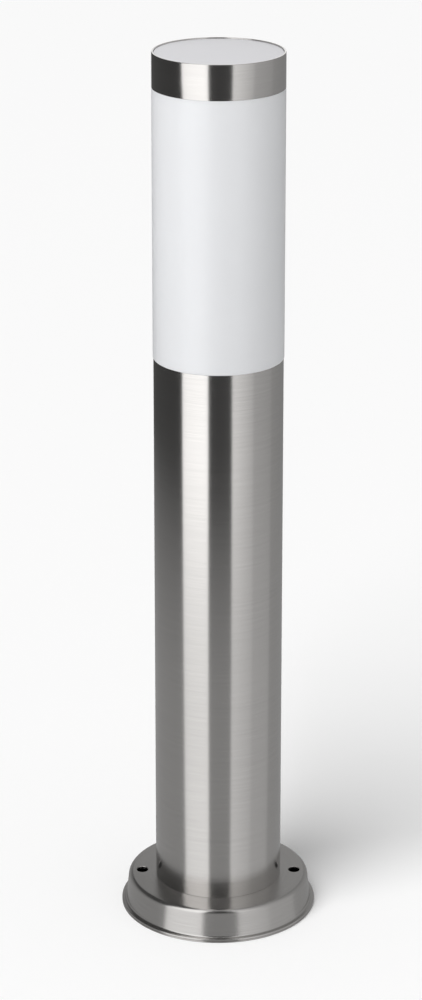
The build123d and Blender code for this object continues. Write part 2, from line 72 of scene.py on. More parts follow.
STAND_DISTANCE = 1.733
STAND_HEIGHT = 0.896
SIDE_STEP = -0.0044
LOOK_DOWN = radians(17.38)
LENS = 112.2
FRAME_SHIFT = -0.15

camera = bpy.data.objects.new("camera", bpy.data.cameras.new("camera"))
bpy.context.scene.collection.objects.link(camera)
camera.location = (SIDE_STEP, -STAND_DISTANCE, STAND_HEIGHT)
camera.rotation_euler = (pi / 2 - LOOK_DOWN, 0, 0)
camera.data.lens = LENS
camera.data.shift_y = FRAME_SHIFT
bpy.context.scene.camera = camera
bpy.context.scene.view_settings.view_transform = "Standard"

# ---- Shader maths ----


class Signal:
    """A number at a shader socket. Arithmetic on it adds Math nodes."""

    def __init__(self, finish, socket):
        self.finish = finish
        self.socket = socket

    def math(self, operation, *others):
        sources = dict(enumerate((self, *others)))
        return self.finish.add("ShaderNodeMath", {"operation": operation}, sources).out(0)

    def __add__(self, other):
        return self.math("ADD", other)

    def __mul__(self, other):
        return self.math("MULTIPLY", other)

    def __sub__(self, other):
        return self.math("SUBTRACT", other)

    def __truediv__(self, other):
        return self.math("DIVIDE", other)

    def __pow__(self, other):
        return self.math("POWER", other)

    def __rsub__(self, other):
        return (self * -1).math("ADD", other)

    __radd__ = __add__
    __rmul__ = __mul__

    def clamped(self):
        return self.math("MAXIMUM", 0.0).math("MINIMUM", 1.0)

    def ramp(self, low, high):
        """0 below low, 1 above high, smooth between."""
        settings = {"interpolation_type": "SMOOTHSTEP"}
        return self.finish.add("ShaderNodeMapRange", settings, {0: self, 1: low, 2: high}).out(0)


class Placed:
    """A node in a finish, with its outputs as signals."""

    def __init__(self, finish, node):
        self.finish = finish
        self.node = node

    def out(self, name):
        return Signal(self.finish, self.node.outputs[name])


class Finish:
    """A material, with one method that adds every kind of node."""

    def __init__(self, name):
        self.material = bpy.data.materials.new(name)
        self.material.use_nodes = True
        self.tree = self.material.node_tree
        self.shader = self.tree.nodes["Principled BSDF"]
        self.place = self.add("ShaderNodeTexCoord", {}, {}).out("Object")

    def add(self, kind, settings, sources):
        node = self.tree.nodes.new(kind)
        for name, value in settings.items():
            setattr(node, name, value)
        self.feed(node, sources)
        return Placed(self, node)

    def feed(self, node, sources):
        for name, value in sources.items():
            if isinstance(value, Signal):
                self.tree.links.new(value.socket, node.inputs[name])
            else:
                node.inputs[name].default_value = value

    def surface(self, **sources):
        """Sets or links the shader's sockets, named with underscores for spaces."""
        self.feed(self.shader, {name.replace("_", " "): value for name, value in sources.items()})
        return self.material

    def axes(self):
        parts = self.add("ShaderNodeSeparateXYZ", {}, {0: self.place})
        return parts.out(0), parts.out(1), parts.out(2)

    def vector(self, x, y, z):
        return self.add("ShaderNodeCombineXYZ", {}, {0: x, 1: y, 2: z}).out(0)

    def noise(self, scale, detail=2.0, vector=None, roughness=0.5):
        sources = {"Vector": vector or self.place, "Scale": scale, "Detail": detail}
        sources["Roughness"] = roughness
        return self.add("ShaderNodeTexNoise", {}, sources).out(0)

    def mixed(self, share, low, high):
        """A colour between two, by share."""
        sources = {0: share, 6: low, 7: high}
        return self.add("ShaderNodeMix", {"data_type": "RGBA"}, sources).out(2)

    def bump(self, height, distance, strength=1.0):
        sources = {"Height": height, "Distance": distance, "Strength": strength}
        return self.add("ShaderNodeBump", {}, sources).out(0)


def grey(level, warmth=0.0):
    return (level * (1 + warmth), level, level * (1 - warmth), 1.0)


def dimmed(colour, factor):
    return (*(part * factor for part in colour[:3]), 1.0)


# ---- Finishes ----

STEEL_WARMTH = 0.024


def brushed_steel(name, level, along, streak_share, anisotropy, roughness):
    """Stainless brushed in rings about the axis.

    along(radius, z) is the distance across the brushing.
    """
    finish = Finish(name)
    x, y, z = finish.axes()
    radius = (x * x + y * y) ** 0.5
    across = along(radius, z)
    fine = finish.noise(1.0, 3.0, finish.vector(x * 45.0, y * 45.0, across * 4200.0))
    broad = finish.noise(1.0, 2.0, finish.vector(x * 14.0, y * 14.0, across * 1500.0))
    cloud = finish.noise(22.0, 2.0)
    streak = fine * 0.65 + broad * 0.35
    tone = streak * streak_share + (1.0 - streak_share * 0.5) + (cloud - 0.5) * 0.04
    dark, light = grey(level * 0.5, STEEL_WARMTH), grey(level * 1.5, STEEL_WARMTH)
    colour = finish.mixed(tone - 0.5, dark, light)
    return finish.surface(
        Base_Color=colour,
        Metallic=1.0,
        Roughness=streak * 0.08 + (roughness - 0.04),
        Anisotropic=anisotropy,
        Anisotropic_Rotation=0.25,
        Normal=finish.bump(fine, 0.00002, 0.35),
    )


def satin_opal(name, colour, roughness, subsurface):
    """Opal plastic: faint cloudiness and a moulded, satin skin."""
    finish = Finish(name)
    cloud = finish.noise(14.0, 3.0)
    grain = finish.noise(2200.0, 1.0)
    return finish.surface(
        Base_Color=finish.mixed(cloud, dimmed(colour, 0.985), dimmed(colour, 1.01)),
        Roughness=cloud * 0.05 + roughness,
        Subsurface_Weight=subsurface,
        Subsurface_Scale=0.006,
        Subsurface_Radius=(1.0, 1.0, 1.0),
        Normal=finish.bump(grain, 0.00001, 0.2),
    )


def worked_metal(name, colour, roughness, mottle, scratch, stretch=(1, 1, 1)):
    """Machined, rolled or plated metal: mottled, scratched and grimy in patches."""
    finish = Finish(name)
    x, y, z = finish.axes()
    cloud = finish.noise(160.0, 4.0)
    patch = finish.noise(55.0, 2.0).ramp(0.52, 0.75)
    wide, deep, high = (800.0 * part for part in stretch)
    line = finish.noise(1.0, 3.0, finish.vector(x * wide, y * deep, z * high))
    tone = cloud * mottle + line * scratch
    metal = finish.mixed(tone, dimmed(colour, 0.78), dimmed(colour, 1.12))
    return finish.surface(
        Base_Color=finish.mixed(patch * 0.3, metal, dimmed(colour, 0.62)),
        Metallic=1.0,
        Roughness=(cloud * 0.16 + patch * 0.1 + (roughness - 0.1)).clamped(),
        Normal=finish.bump(line, 0.00003, 0.4),
    )


def moulded(name, colour, roughness, grain_scale, dust, depth=0.00004):
    """Moulded plastic or rubber: a fine sparked grain, flow clouds and a little pale dust."""
    finish = Finish(name)
    cloud = finish.noise(70.0, 3.0)
    grain = finish.noise(grain_scale, 2.0, roughness=0.7)
    settled = finish.noise(240.0, 4.0, roughness=0.75).ramp(0.55, 0.8) * dust
    skin = finish.mixed(cloud, dimmed(colour, 0.9), dimmed(colour, 1.08))
    return finish.surface(
        Base_Color=finish.mixed(settled, skin, grey(0.42, 0.06)),
        Roughness=(cloud * 0.12 + settled * 0.3 + (roughness - 0.06)).clamped(),
        Normal=finish.bump(grain, depth, 0.35),
    )


def glazed(name, colour, specks):
    """Glaze or glass: slow waves, a clear coat, and a few dark specks."""
    finish = Finish(name)
    wave = finish.noise(260.0, 2.0)
    speck = finish.noise(1500.0, 1.0).ramp(0.74, 0.8) * specks
    shade = finish.mixed(finish.noise(90.0, 3.0), dimmed(colour, 0.93), dimmed(colour, 1.04))
    return finish.surface(
        Base_Color=finish.mixed(speck, shade, grey(0.16, 0.1)),
        Roughness=wave * 0.08 + 0.14,
        Coat_Weight=0.6,
        Coat_Roughness=0.06,
        Normal=finish.bump(wave, 0.00005, 0.3),
    )


def insulation(name, colour, second=None):
    """Wire covering with faint rings, in one colour or in slanting bands of two."""
    finish = Finish(name)
    x, y, z = finish.axes()
    ring = finish.noise(1.0, 2.0, finish.vector(x * 150.0, y * 150.0, z * 1300.0))
    scuff = finish.noise(420.0, 4.0).ramp(0.6, 0.82)
    covering = finish.mixed(ring, dimmed(colour, 0.88), dimmed(colour, 1.1))
    if second:
        band = ((z * 620.0 + x * 900.0).math("SINE") * 4.0 + 0.5).clamped()
        covering = finish.mixed(band, covering, second)
    return finish.surface(
        Base_Color=finish.mixed(scuff * 0.25, covering, grey(0.5)),
        Roughness=ring * 0.1 + scuff * 0.15 + 0.36,
        Normal=finish.bump(ring, 0.00003, 0.3),
    )


def chip_place(finish):
    """Distance of a point from the nearest LED chip's middle, outwards and round, in metres."""
    x, y, _ = finish.axes()
    radius = (x * x + y * y) ** 0.5
    pitch = 2 * pi / CHIP_COUNT
    turn = y.math("ARCTAN2", x) / pitch
    nearest = turn - turn.math("ROUND")
    out = (radius - CHIP_CIRCLE * MM).math("ABSOLUTE")
    along = (nearest * (pitch * CHIP_CIRCLE * MM)).math("ABSOLUTE")
    return out, along


def circuit_board(name):
    """White solder mask over aluminium, with copper pads and a ring of track between the chips."""
    finish = Finish(name)
    out, along = chip_place(finish)
    pad = out.math("LESS_THAN", 1.2 * MM) * along.math("LESS_THAN", 2.3 * MM)
    track = out.math("LESS_THAN", 0.55 * MM)
    cloud = finish.noise(300.0, 3.0)
    mask = finish.mixed(cloud, grey(0.74, 0.01), grey(0.82, 0.01))
    raised = finish.mixed(track * 0.3, mask, grey(0.55, 0.03))
    return finish.surface(
        Base_Color=finish.mixed(pad, raised, (0.72, 0.72, 0.70, 1.0)),
        Metallic=pad * 0.9,
        Roughness=cloud * 0.1 + 0.34,
        Normal=finish.bump(track, 0.00004, 0.6),
    )


def led_chip(name):
    """A yellow phosphor window in a white frame."""
    finish = Finish(name)
    out, along = chip_place(finish)
    window = out.math("MAXIMUM", along).math("LESS_THAN", CHIP_WINDOW * MM)
    grain = finish.noise(5000.0, 2.0)
    phosphor = finish.mixed(grain, (0.72, 0.52, 0.09, 1.0), (0.88, 0.70, 0.16, 1.0))
    return finish.surface(
        Base_Color=finish.mixed(window, grey(0.8), phosphor),
        Roughness=window * 0.12 + grain * 0.08 + 0.28,
        Normal=finish.bump(window * -1, 0.0001, 0.5),
    )


ZINC = (0.60, 0.61, 0.63, 1.0)
STAINLESS = grey(0.52, 0.01)

FINISHES = {
    "brushed_stainless": brushed_steel(
        "brushed_stainless", 0.60, lambda radius, z: z, 0.26, 0.75, 0.20
    ),
    "spun_stainless": brushed_steel(
        "spun_stainless", 0.56, lambda radius, z: z - radius, 0.34, 0.70, 0.24
    ),
    "mill_steel": worked_metal("mill_steel", grey(0.42, 0.02), 0.46, 0.6, 0.4),
    "zinc_steel": worked_metal("zinc_steel", ZINC, 0.30, 0.5, 0.3, (0.4, 0.4, 1.6)),
    "stainless_screw": worked_metal("stainless_screw", STAINLESS, 0.26, 0.3, 0.5, (0.3, 0.3, 2)),
    "spring_steel": worked_metal("spring_steel", grey(0.44, 0.02), 0.24, 0.3, 0.5, (2, 2, 0.2)),
    "brass_parts": worked_metal("brass_parts", (0.62, 0.43, 0.17, 1.0), 0.27, 0.6, 0.4),
    "nickel_shell": worked_metal(
        "nickel_shell", (0.63, 0.60, 0.55, 1.0), 0.20, 0.4, 0.4, (0.15, 0.15, 1.8)
    ),
    "bronze_leaf": worked_metal(
        "bronze_leaf", (0.56, 0.33, 0.16, 1.0), 0.25, 0.5, 0.5, (2, 0.2, 1)
    ),
    "board_aluminium": circuit_board("board_aluminium"),
    "led_phosphor": led_chip("led_phosphor"),
    "opal_diffuser": satin_opal("opal_diffuser", (0.742, 0.750, 0.768, 1.0), 0.30, 0.25),
    # opal_disc is the diffuser's opal painted darker and greyer: painted shade for the top face,
    # which takes less light.
    "opal_disc": satin_opal("opal_disc", (0.645, 0.642, 0.662, 1.0), 0.50, 0.0),
    "bulb_opal": satin_opal("bulb_opal", (0.90, 0.89, 0.86, 1.0), 0.36, 0.3),
    "bulb_plastic": moulded("bulb_plastic", (0.80, 0.80, 0.78, 1.0), 0.38, 1500.0, 0.1),
    "carrier_plastic": moulded("carrier_plastic", grey(0.028), 0.52, 2600.0, 0.12),
    "terminal_plastic": moulded("terminal_plastic", (0.62, 0.60, 0.54, 1.0), 0.44, 1800.0, 0.25),
    "black_rubber": moulded("black_rubber", grey(0.022), 0.66, 1300.0, 0.2, 0.00006),
    "clear_silicone": satin_opal("clear_silicone", (0.60, 0.61, 0.60, 1.0), 0.34, 0.4),
    "porcelain": glazed("porcelain", (0.80, 0.77, 0.69, 1.0), 0.5),
    "black_glass": glazed("black_glass", grey(0.02), 0.1),
    "brown_insulation": insulation("brown_insulation", (0.13, 0.05, 0.025, 1.0)),
    "blue_insulation": insulation("blue_insulation", (0.03, 0.12, 0.42, 1.0)),
    "earth_insulation": insulation(
        "earth_insulation", (0.04, 0.27, 0.05, 1.0), (0.78, 0.62, 0.04, 1.0)
    ),
}

# ---- Modelling ----


def deselect():
    bpy.ops.object.select_all(action="DESELECT")


def edit_mode():
    bpy.ops.object.mode_set(mode="EDIT")


def object_mode():
    bpy.ops.object.mode_set(mode="OBJECT")


def select_at(piece, points, reach=MERGE_REACH):
    """Selects the vertices that lie at any of these points."""
    object_mode()
    for polygon in piece.data.polygons:
        polygon.select = False
    for edge in piece.data.edges:
        edge.select = False
    for vertex in piece.data.vertices:
        vertex.select = any((vertex.co - point).length < reach for point in points)
    edit_mode()
    bpy.ops.mesh.select_mode(type="VERT")


def corner_cut(before, corner, after, radius):
    """How far from a corner an arc of this radius meets the two lines."""
    turn = (corner - before).angle(after - corner)
    return radius * tan(turn / 2)


def drawn(name, outline, closed=True):
    """A wire from an outline of (radius, height, rounding) corners in millimetres.

    It closes on itself, unless closed is False or it starts and ends on the axis.
    """
    deselect()
    bpy.ops.mesh.primitive_plane_add(size=MM)
    piece = bpy.context.object
    piece.name = name
    corners = [Vector((r * MM, 0, z * MM)) for r, z, *_ in outline]
    edit_mode()
    bpy.ops.mesh.select_mode(type="VERT")
    bpy.ops.mesh.select_all(action="SELECT")
    bpy.ops.mesh.merge(type="CENTER")
    bpy.ops.transform.translate(value=corners[0])
    on_axis = corners[0].x == 0 and corners[-1].x == 0
    last = corners[:1] if closed and not on_axis else []
    for start, end in zip(corners, corners[1:] + last):
        bpy.ops.mesh.extrude_region_move(TRANSFORM_OT_translate={"value": end - start})
    bpy.ops.mesh.select_all(action="SELECT")
    bpy.ops.mesh.remove_doubles(threshold=1e-7)
    for i, (_, _, *rounding) in enumerate(outline):
        if rounding:
            before, after = corners[i - 1], corners[(i + 1) % len(corners)]
            cut = corner_cut(before, corners[i], after, rounding[0] * MM)
            select_at(piece, [corners[i]])
            segments = 4 if rounding[0] < 1.5 else 10
            bpy.ops.mesh.bevel(offset=cut, segments=segments, affect="VERTICES")
    return piece


def spin_round(piece, steps):
    """Spins a drawn wire about Z into a closed skin."""
    edit_mode()
    bpy.ops.mesh.select_all(action="SELECT")
    bpy.ops.mesh.spin(steps=steps, angle=2 * pi, center=(0, 0, 0), axis=(0, 0, 1))
    bpy.ops.mesh.select_all(action="SELECT")
    bpy.ops.mesh.remove_doubles(threshold=MERGE_REACH)
    bpy.ops.mesh.normals_make_consistent(inside=False)
    object_mode()


def turned(name, outline, body, slot, replaced, steps=192):
    """A piece spun about Z from its outline."""
    piece = drawn(name, outline)
    spin_round(piece, steps)
    return finished(piece, body, slot, replaced)


def finished(piece, body, slot, replaced=()):
    """Smooths a piece, gives it its finish and puts it on its body."""
    deselect()
    piece.select_set(True)
    bpy.context.view_layer.objects.active = piece
    bpy.ops.object.shade_smooth_by_angle(angle=SMOOTH_ANGLE)
    piece.data.materials.clear()
    piece.data.materials.append(FINISHES[slot])
    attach(piece, body)
    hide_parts(*replaced)
    return piece


def cut_away(piece, cutter):
    """Takes the cutter's shape out of a piece."""
    deselect()
    bpy.context.view_layer.objects.active = piece
    piece.select_set(True)
    modifier = piece.modifiers.new("cut", "BOOLEAN")
    modifier.operation = "DIFFERENCE"
    modifier.solver = "EXACT"
    modifier.object = cutter
    bpy.ops.object.modifier_apply(modifier="cut")
    bpy.data.objects.remove(cutter)
    edit_mode()
    bpy.ops.mesh.select_all(action="SELECT")
    bpy.ops.mesh.remove_doubles(threshold=MERGE_REACH)
    object_mode()


def round_hole(piece, x, y, radius, bottom, top, top_radius=None):
    """Bores a vertical hole, or one that widens to top_radius at its top."""
    deselect()
    middle = (bottom + top) / 2
    bpy.ops.mesh.primitive_cone_add(
        vertices=HOLE_SIDES, radius1=radius * MM, radius2=(top_radius or radius) * MM,
        depth=(top - bottom) * MM, location=(x * MM, y * MM, middle * MM),
    )
    cut_away(piece, bpy.context.object)


def square_cut(piece, low, high):
    """Cuts a box out of a piece, from its lowest corner to its highest."""
    deselect()
    low, high = Vector(low) * MM, Vector(high) * MM
    bpy.ops.mesh.primitive_cube_add(size=1, location=(low + high) / 2)
    cutter = bpy.context.object
    cutter.scale = high - low
    bpy.ops.object.transform_apply(location=True, rotation=True, scale=True)
    cut_away(piece, cutter)


def around(circle, angles):
    return [(circle * cos(radians(angle)), circle * sin(radians(angle))) for angle in angles]


# ---- Sizes read from the frame, in millimetres ----


def radius_of(node):
    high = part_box(node)[1]
    return max(high.x, high.y) / MM


def bottom_of(node):
    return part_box(node)[0].z / MM


def top_of(node):
    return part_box(node)[1].z / MM


# ---- Base and post ----

PLATEAU = top_of("base_flange")
LIP_R = radius_of("base_flange")
SHOULDER_R = LIP_R - 4.4
WALL_FOOT_R = LIP_R - 2.7
SHEET = 1.2
HEM = 2.4
CABLE_HOLE_R = 12.5
FOOT_SCREW_CIRCLE = 28.0
FOOT_SCREW_ANGLES = (90, 210, 330)
FOOT_SCREW_WAY_R = 2.75
BURR = 0.2
FIXING_X = frame["record"]["mounts"][0]["dims"]["spacing_x_mm"] / 2
FIXING_R = frame["record"]["mounts"][0]["dims"]["hole_r_mm"]

TUBE_R = radius_of("post_tube")
TUBE_TOP = top_of("post_tube")
TUBE_WALL = 1.2


def base_flange():
    """Spun sheet with a hemmed lip, two deburred fixing holes and three screw ways."""
    hem_line = HEM / 2
    outline = [
        (CABLE_HOLE_R, PLATEAU),
        (SHOULDER_R, PLATEAU, 3.0),
        (WALL_FOOT_R, HEM, 1.2),
        (LIP_R, HEM, 0.5),
        (LIP_R, hem_line + 0.15),
        (LIP_R - 0.4, hem_line),
        (LIP_R, hem_line - 0.15),
        (LIP_R, 0, 0.5),
        (LIP_R - 2.0, 0),
        (LIP_R - 2.0, hem_line),
        (WALL_FOOT_R - SHEET, hem_line, 1.2),
        (SHOULDER_R - SHEET, PLATEAU - SHEET, 1.8),
        (CABLE_HOLE_R, PLATEAU - SHEET),
    ]
    flange = turned("flange", outline, "post", "spun_stainless", ["base_flange"], 288)
    below, above = PLATEAU - 3, PLATEAU + 1
    for x in (-FIXING_X, FIXING_X):
        round_hole(flange, x, 0, FIXING_R + BURR, PLATEAU - BURR, above, FIXING_R + BURR + 1)
        round_hole(flange, x, 0, FIXING_R, below, above)
    for x, y in around(FOOT_SCREW_CIRCLE, FOOT_SCREW_ANGLES):
        round_hole(flange, x, y, FOOT_SCREW_WAY_R, below, above)
    return flange


def plain_pipe(inner, outer, bottom, top, rounding):
    return [
        (inner, bottom, rounding),
        (outer, bottom, rounding),
        (outer, top, rounding),
        (inner, top, rounding),
    ]


base_flange()
turned(
    "tube",
    plain_pipe(TUBE_R - TUBE_WALL, TUBE_R, bottom_of("post_tube"), TUBE_TOP, 0.2),
    "post", "brushed_stainless", ["post_tube"], 256,
)

# ---- Head ----

HEAD_R = radius_of("diffuser")
NECK_R = 34.2
NECK_BORE_R = 31.0
BORE_R = 35.6
RING_SEAT_R = 37.3
RING_BOTTOM = bottom_of("cap_ring")
DIFFUSER_TOP = top_of("diffuser")
GROOVE = (341.9, 344.7)
GROOVE_DEPTH = 2.1
CLIP_GROOVE = (340.6, 339.8, 335.8, 335.0)
CLIP_GROOVE_DEPTH = 1.0

turned(
    "opal_cylinder",
    [
        (NECK_BORE_R, bottom_of("diffuser"), 0.5),
        (NECK_R, bottom_of("diffuser"), 1.0),
        (NECK_R, GROOVE[0], 0.15),
        (NECK_R - GROOVE_DEPTH, GROOVE[0]),
        (NECK_R - GROOVE_DEPTH, GROOVE[1]),
        (NECK_R, GROOVE[1], 0.15),
        (NECK_R, TUBE_TOP),
        (HEAD_R, TUBE_TOP, 0.3),
        (HEAD_R, RING_BOTTOM, 0.12),
        (RING_SEAT_R, RING_BOTTOM),
        (RING_SEAT_R, DIFFUSER_TOP),
        (BORE_R, DIFFUSER_TOP),
        (BORE_R, TUBE_TOP + 5.0, 1.0),
        (NECK_BORE_R, TUBE_TOP + 2.0, 1.0),
        (NECK_BORE_R, CLIP_GROOVE[0]),
        (NECK_BORE_R + CLIP_GROOVE_DEPTH, CLIP_GROOVE[1]),
        (NECK_BORE_R + CLIP_GROOVE_DEPTH, CLIP_GROOVE[2]),
        (NECK_BORE_R, CLIP_GROOVE[3]),
    ],
    "head", "opal_diffuser", ["diffuser"], 256,
)
turned(
    "steel_ring",
    [
        (RING_SEAT_R, RING_BOTTOM),
        (HEAD_R, RING_BOTTOM, 0.12),
        (HEAD_R, top_of("cap_ring"), 0.35),
        (RING_SEAT_R, top_of("cap_ring"), 0.25),
    ],
    "head", "brushed_stainless", ["cap_ring"], 256,
)
DISC_R = RING_SEAT_R - 0.1
# The disc's finish carries painted shade: a darker grey copy of the diffuser's opal.
turned(
    "disc",
    [
        (0, bottom_of("top_disc")),
        (DISC_R, bottom_of("top_disc")),
        (DISC_R, top_of("top_disc"), 0.4),
        (0, top_of("top_disc")),
    ],
    "head", "opal_disc", ["top_disc"], 192,
)

# ---- Under the base ----

GASKET_INNER_R = 51.0
GASKET_TOP = top_of("base_gasket")
GASKET_R = radius_of("base_gasket")
turned(
    "gasket",
    [
        (GASKET_INNER_R, 0, 0.4),
        (52.4, 0, 0.2),
        (52.9, 0.8, 0.3),
        (53.4, 0, 0.2),
        (GASKET_R, 0, 0.3),
        (WALL_FOOT_R - 1.35, 2.8, 0.3),
        (WALL_FOOT_R - 1.75, GASKET_TOP, 0.4),
        (GASKET_INNER_R, GASKET_TOP, 0.4),
    ],
    "post", "black_rubber", ["base_gasket"], 160,
)

CABLE_R = frame["record"]["mounts"][2]["dims"]["r_mm"]
GROMMET_BOTTOM, GROMMET_TOP = bottom_of("cable_grommet"), top_of("cable_grommet")
turned(
    "grommet",
    [
        (CABLE_R, GROMMET_BOTTOM, 0.5),
        (9.0, GROMMET_BOTTOM, 0.5),
        (15.0, 17.0, 0.4),
        (15.0, PLATEAU - SHEET, 0.2),
        (CABLE_HOLE_R, PLATEAU - SHEET),
        (CABLE_HOLE_R, PLATEAU),
        (14.6, PLATEAU, 0.2),
        (14.6, 21.5, 0.6),
        (9.5, GROMMET_TOP, 0.6),
        (CABLE_R, GROMMET_TOP, 0.5),
    ],
    "post", "black_rubber", ["cable_grommet"], 96,
)

# ---- Carrier and lampholder ----

SEAT_TOP = bottom_of("lamp_carrier")
FLOOR_TOP = bottom_of("lampholder_body")
COLLAR_R = radius_of("lamp_carrier")
COLLAR_BORE_R = NECK_R + 0.4
CARRIER_TOP = top_of("lamp_carrier")
CLEARANCE_R = 2.2
CARRIER_SCREW_CIRCLE = 31.4
CARRIER_SCREW_ANGLES = (30, 150, 270)
CLIP_CIRCLE = 25.0
CLIP_ANGLES = (90, 210, 330)
HOLDER_SCREW_X = 14.0
POCKET_Y = 17.0
WIRE_WAY_R = 2.0
CLIP_HOLE_R = 1.5

carrier = turned(
    "carrier",
    [
        (0, SEAT_TOP),
        (COLLAR_R, SEAT_TOP, 0.4),
        (COLLAR_R, CARRIER_TOP, 0.4),
        (COLLAR_BORE_R + 0.8, CARRIER_TOP, 0.3),
        (COLLAR_BORE_R, CARRIER_TOP - 1.2, 0.5),
        (COLLAR_BORE_R, FLOOR_TOP, 0.5),
        (21.9, FLOOR_TOP, 0.2),
        (21.6, FLOOR_TOP - 0.4, 0.2),
        (0, FLOOR_TOP - 0.4),
    ],
    "post", "carrier_plastic", ["lamp_carrier"], 160,
)
for x, y in around(CARRIER_SCREW_CIRCLE, CARRIER_SCREW_ANGLES):
    round_hole(carrier, x, y, CLEARANCE_R, SEAT_TOP - 1, FLOOR_TOP + 1)
for x, y in around(CLIP_CIRCLE, CLIP_ANGLES):
    round_hole(carrier, x, y, CLIP_HOLE_R, SEAT_TOP - 1, FLOOR_TOP + 1)
for side in (-1, 1):
    round_hole(carrier, side * HOLDER_SCREW_X, 0, CLEARANCE_R, SEAT_TOP - 1, FLOOR_TOP + 1)
    round_hole(carrier, 0, side * POCKET_Y, WIRE_WAY_R, SEAT_TOP - 1, FLOOR_TOP + 1)

# The rolled thread: a wave drawn over one lead and screwed upwards. The cap's wave and the
# sleeve's are in step, 0.3 mm apart. Both sheets lie outside their waves, so the two overlap
# by 0.1 mm.
THREAD_LEAD = 2 * pi * frame["record"]["behaviour"]["couplings"][0]["ratio"] / MM
THREAD_DEPTH = 0.9
THREAD_SHEET = 0.4
CAP_ROOT_R = 12.2
WAVE_GAP = 0.3
SLEEVE_ROOT_R = CAP_ROOT_R + WAVE_GAP
WAVE_STEPS = 14
TURN_STEPS = 72


def rolled_thread(name, root_r, bottom, top, along_normals, body, slot, replaced):
    """Thin sheet rolled into a right-hand thread.

    root_r is the wave's radius at its roots. The sheet is laid from the wave along the
    surface's normals, or against them.
    """
    turns = int((top - bottom) / THREAD_LEAD) + 3
    start = (int(bottom / THREAD_LEAD) - 1) * THREAD_LEAD
    wave = []
    for i in range(WAVE_STEPS + 1):
        share = i / WAVE_STEPS
        radius = root_r + THREAD_DEPTH * (0.5 - 0.5 * cos(2 * pi * share))
        wave.append((radius, start + share * THREAD_LEAD))
    piece = drawn(name, wave, closed=False)
    object_mode()
    deselect()
    bpy.context.view_layer.objects.active = piece
    piece.select_set(True)
    screw = piece.modifiers.new("screw", "SCREW")
    screw.axis = "Z"
    screw.screw_offset = THREAD_LEAD * MM
    screw.iterations = turns
    screw.steps = screw.render_steps = TURN_STEPS
    screw.use_merge_vertices = True
    bpy.ops.object.modifier_apply(modifier="screw")
    edit_mode()
    for height, below in ((bottom, True), (top, False)):
        bpy.ops.mesh.select_all(action="SELECT")
        bpy.ops.mesh.remove_doubles(threshold=MERGE_REACH)
        bpy.ops.mesh.bisect(
            plane_co=(0, 0, height * MM), plane_no=(0, 0, 1),
            clear_inner=below, clear_outer=not below,
        )
    bpy.ops.mesh.select_all(action="SELECT")
    bpy.ops.mesh.normals_make_consistent(inside=False)
    object_mode()
    solid = piece.modifiers.new("sheet", "SOLIDIFY")
    solid.thickness = THREAD_SHEET * MM
    solid.offset = 1 if along_normals else -1
    bpy.ops.object.modifier_apply(modifier="sheet")
    edit_mode()
    bpy.ops.mesh.select_all(action="SELECT")
    bpy.ops.mesh.normals_make_consistent(inside=False)
    object_mode()
    return finished(piece, body, slot, replaced)


rolled_thread(
    "sleeve", SLEEVE_ROOT_R, bottom_of("holder_sleeve"), top_of("holder_sleeve"), True,
    "post", "nickel_shell", ["holder_sleeve"],
)
rolled_thread(
    "cap", CAP_ROOT_R, bottom_of("bulb_cap"), top_of("bulb_cap"), False,
    "bulb", "nickel_shell", ["bulb_cap"],
)

HOLDER_R = radius_of("lampholder_body")
HOLDER_TOP = top_of("lampholder_body")
CAVITY_R = 14.35
CAVITY_FLOOR = 342.0
POCKET_BOTTOM, POCKET_TOP = 327.0, 338.0
HOLDER_WIRE_WAY_R = 1.8
HOLDER_SCREW_WAY_R = 2.0
RIVET_HOLE_R = 0.9
RIVET_YS = (-10.5, 12.9)
holder = turned(
    "lampholder",
    [
        (0, FLOOR_TOP),
        (HOLDER_R, FLOOR_TOP, 0.8),
        (HOLDER_R, 340.0, 1.2),
        (20.5, 344.0, 1.2),
        (20.5, HOLDER_TOP, 1.4),
        (17.0, HOLDER_TOP, 0.9),
        (16.2, top_of("holder_sleeve"), 0.3),
        (CAVITY_R, top_of("holder_sleeve"), 0.2),
        (CAVITY_R, CAVITY_FLOOR, 0.8),
        (0, CAVITY_FLOOR),
    ],
    "post", "porcelain", ["lampholder_body"], 160,
)
for side in (-1, 1):
    near, far = sorted((side * 12.0, side * 23.0))
    square_cut(holder, (-5, near, POCKET_BOTTOM), (5, far, POCKET_TOP))
    round_hole(holder, 0, side * POCKET_Y, HOLDER_WIRE_WAY_R, FLOOR_TOP - 1, POCKET_BOTTOM + 1)
    screw_x = side * HOLDER_SCREW_X
    round_hole(holder, screw_x, 0, HOLDER_SCREW_WAY_R, FLOOR_TOP - 1, FLOOR_TOP + 9)
for y in RIVET_YS:
    round_hole(holder, 0, y, RIVET_HOLE_R, POCKET_TOP - 1, CAVITY_FLOOR + 1)
square_cut(holder, (-1, -12.1, POCKET_TOP - 1.2), (1, -9.6, POCKET_TOP + 0.01))

# ---- Head seals ----


def arc(centre_r, centre_z, radius, start, end, steps):
    """Points round an arc, with its angles in degrees up from the horizontal."""
    angles = [radians(start + (end - start) * i / steps) for i in range(steps + 1)]
    return [(centre_r + radius * cos(a), centre_z + radius * sin(a)) for a in angles]


O_RING_LOW, O_RING_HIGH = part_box("neck_o_ring")
O_RING_SECTION = (O_RING_HIGH.z - O_RING_LOW.z) / 2 / MM
O_RING_HEIGHT = (O_RING_HIGH.z + O_RING_LOW.z) / 2 / MM
O_RING_R = radius_of("neck_o_ring") - O_RING_SECTION
turned(
    "o_ring",
    arc(O_RING_R, O_RING_HEIGHT, O_RING_SECTION, 0, 345, 23),
    "head", "black_rubber", ["neck_o_ring"], 160,
)
turned(
    "seal",
    [
        (BORE_R, DIFFUSER_TOP, 0.2),
        (RING_SEAT_R, DIFFUSER_TOP, 0.1),
        (RING_SEAT_R, bottom_of("top_disc"), 0.1),
        (BORE_R, bottom_of("top_disc"), 0.2),
    ],
    "head", "clear_silicone", ["disc_seal"], 160,
)

# ---- Lamp ----

